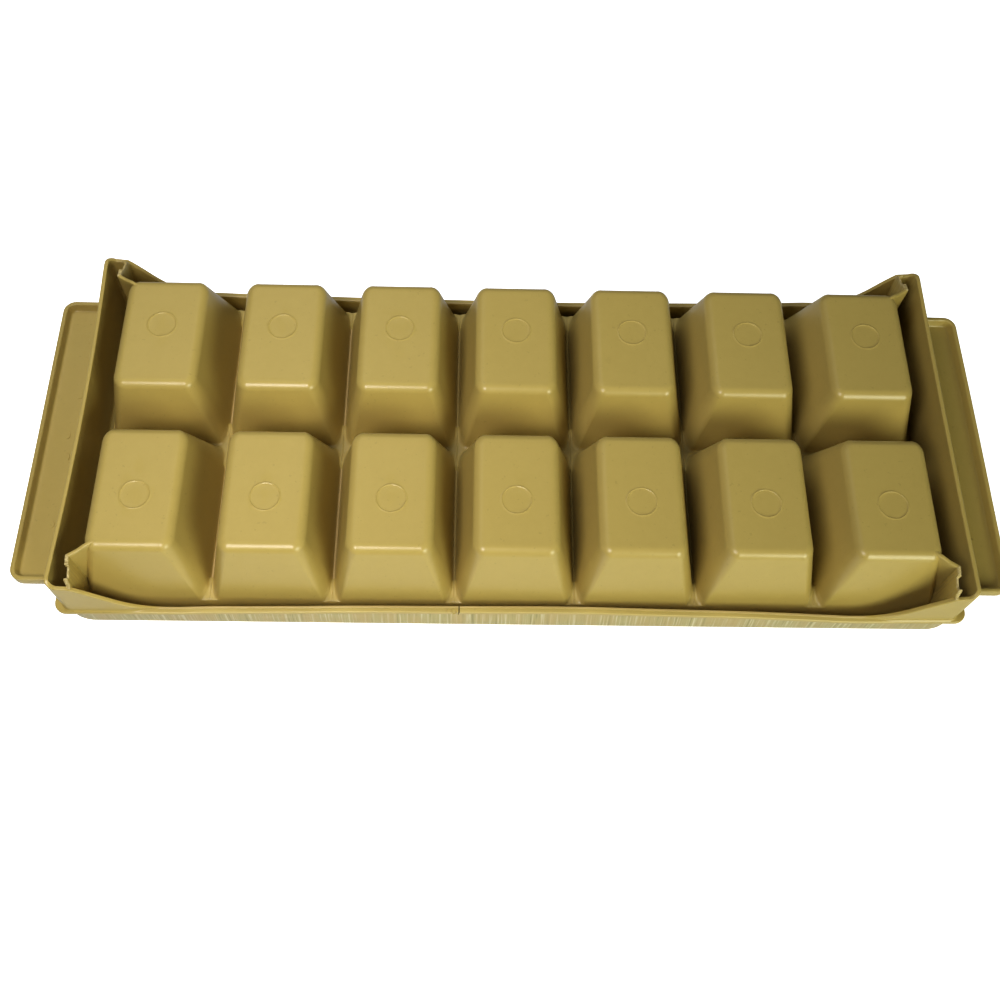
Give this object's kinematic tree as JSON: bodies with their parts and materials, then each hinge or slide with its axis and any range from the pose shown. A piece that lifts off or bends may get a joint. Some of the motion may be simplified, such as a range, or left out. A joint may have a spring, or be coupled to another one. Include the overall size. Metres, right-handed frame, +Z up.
{
  "type": "ice cube tray",
  "caption": "Twist-release plastic ice cube tray lying bottom up: rows of tapered pockets in a channelled rim, raised end walls, corner gussets and flat end handles with raised edges.",
  "frame": {"origin": "on the surface that the rim lies on, under the middle of the tray, as it lies bottom up", "axes": "+X along the tray towards the right handle, +Y towards the rear row of pockets, +Z up towards the pocket bottoms"},
  "size_m": [0.3026, 0.1174, 0.0316],
  "materials": {
    "tray_plastic": "satin, harvest gold"
  },
  "bodies": {
    "column_1": {"divider_1": "tray_plastic", "pocket_rear_1": "tray_plastic", "pocket_front_1": "tray_plastic", "rim_rear_1": "tray_plastic", "rim_front_1": "tray_plastic", "end_rim_left": "tray_plastic", "end_wall_left": "tray_plastic", "handle_left": "tray_plastic", "leg_rear_left": "tray_plastic", "leg_front_left": "tray_plastic", "gusset_rear_left": "tray_plastic", "gusset_front_left": "tray_plastic"},
    "column_2": {"divider_2": "tray_plastic", "pocket_rear_2": "tray_plastic", "pocket_front_2": "tray_plastic", "rim_rear_2": "tray_plastic", "rim_front_2": "tray_plastic"},
    "column_3": {"divider_3": "tray_plastic", "pocket_rear_3": "tray_plastic", "pocket_front_3": "tray_plastic", "rim_rear_3": "tray_plastic", "rim_front_3": "tray_plastic"},
    "column_4": {"divider_4": "tray_plastic", "pocket_rear_4": "tray_plastic", "pocket_front_4": "tray_plastic", "rim_rear_4": "tray_plastic", "rim_front_4": "tray_plastic"},
    "column_5": {"divider_5": "tray_plastic", "pocket_rear_5": "tray_plastic", "pocket_front_5": "tray_plastic", "rim_rear_5": "tray_plastic", "rim_front_5": "tray_plastic"},
    "column_6": {"divider_6": "tray_plastic", "pocket_rear_6": "tray_plastic", "pocket_front_6": "tray_plastic", "rim_rear_6": "tray_plastic", "rim_front_6": "tray_plastic"},
    "column_7": {"divider_7": "tray_plastic", "pocket_rear_7": "tray_plastic", "pocket_front_7": "tray_plastic", "rim_rear_7": "tray_plastic", "rim_front_7": "tray_plastic", "end_rim_right": "tray_plastic", "end_wall_right": "tray_plastic", "handle_right": "tray_plastic", "leg_rear_right": "tray_plastic", "leg_front_right": "tray_plastic", "gusset_rear_right": "tray_plastic", "gusset_front_right": "tray_plastic"}
  },
  "joints": [
    {"name": "twist_4_3", "type": "hinge", "parent": "column_4", "child": "column_3", "pos_m": [-0.0185, 0, 0.016], "axis": [1, 0, 0], "range_deg": [-3, 3], "stiffness_Nm_per_rad": 10},
    {"name": "twist_3_2", "type": "hinge", "parent": "column_3", "child": "column_2", "pos_m": [-0.0555, 0, 0.016], "axis": [1, 0, 0], "range_deg": [-3, 3], "stiffness_Nm_per_rad": 10},
    {"name": "twist_2_1", "type": "hinge", "parent": "column_2", "child": "column_1", "pos_m": [-0.0925, 0, 0.016], "axis": [1, 0, 0], "range_deg": [-3, 3], "stiffness_Nm_per_rad": 10},
    {"name": "twist_4_5", "type": "hinge", "parent": "column_4", "child": "column_5", "pos_m": [0.0185, 0, 0.016], "axis": [1, 0, 0], "range_deg": [-3, 3], "stiffness_Nm_per_rad": 10},
    {"name": "twist_5_6", "type": "hinge", "parent": "column_5", "child": "column_6", "pos_m": [0.0555, 0, 0.016], "axis": [1, 0, 0], "range_deg": [-3, 3], "stiffness_Nm_per_rad": 10},
    {"name": "twist_6_7", "type": "hinge", "parent": "column_6", "child": "column_7", "pos_m": [0.0925, 0, 0.016], "axis": [1, 0, 0], "range_deg": [-3, 3], "stiffness_Nm_per_rad": 10}
  ],
  "couplings": [
    {"joint": "twist_3_2", "follows": "twist_4_3", "ratio": 1},
    {"joint": "twist_2_1", "follows": "twist_4_3", "ratio": 1},
    {"joint": "twist_4_5", "follows": "twist_4_3", "ratio": -1},
    {"joint": "twist_5_6", "follows": "twist_4_3", "ratio": -1},
    {"joint": "twist_6_7", "follows": "twist_4_3", "ratio": -1}
  ]
}
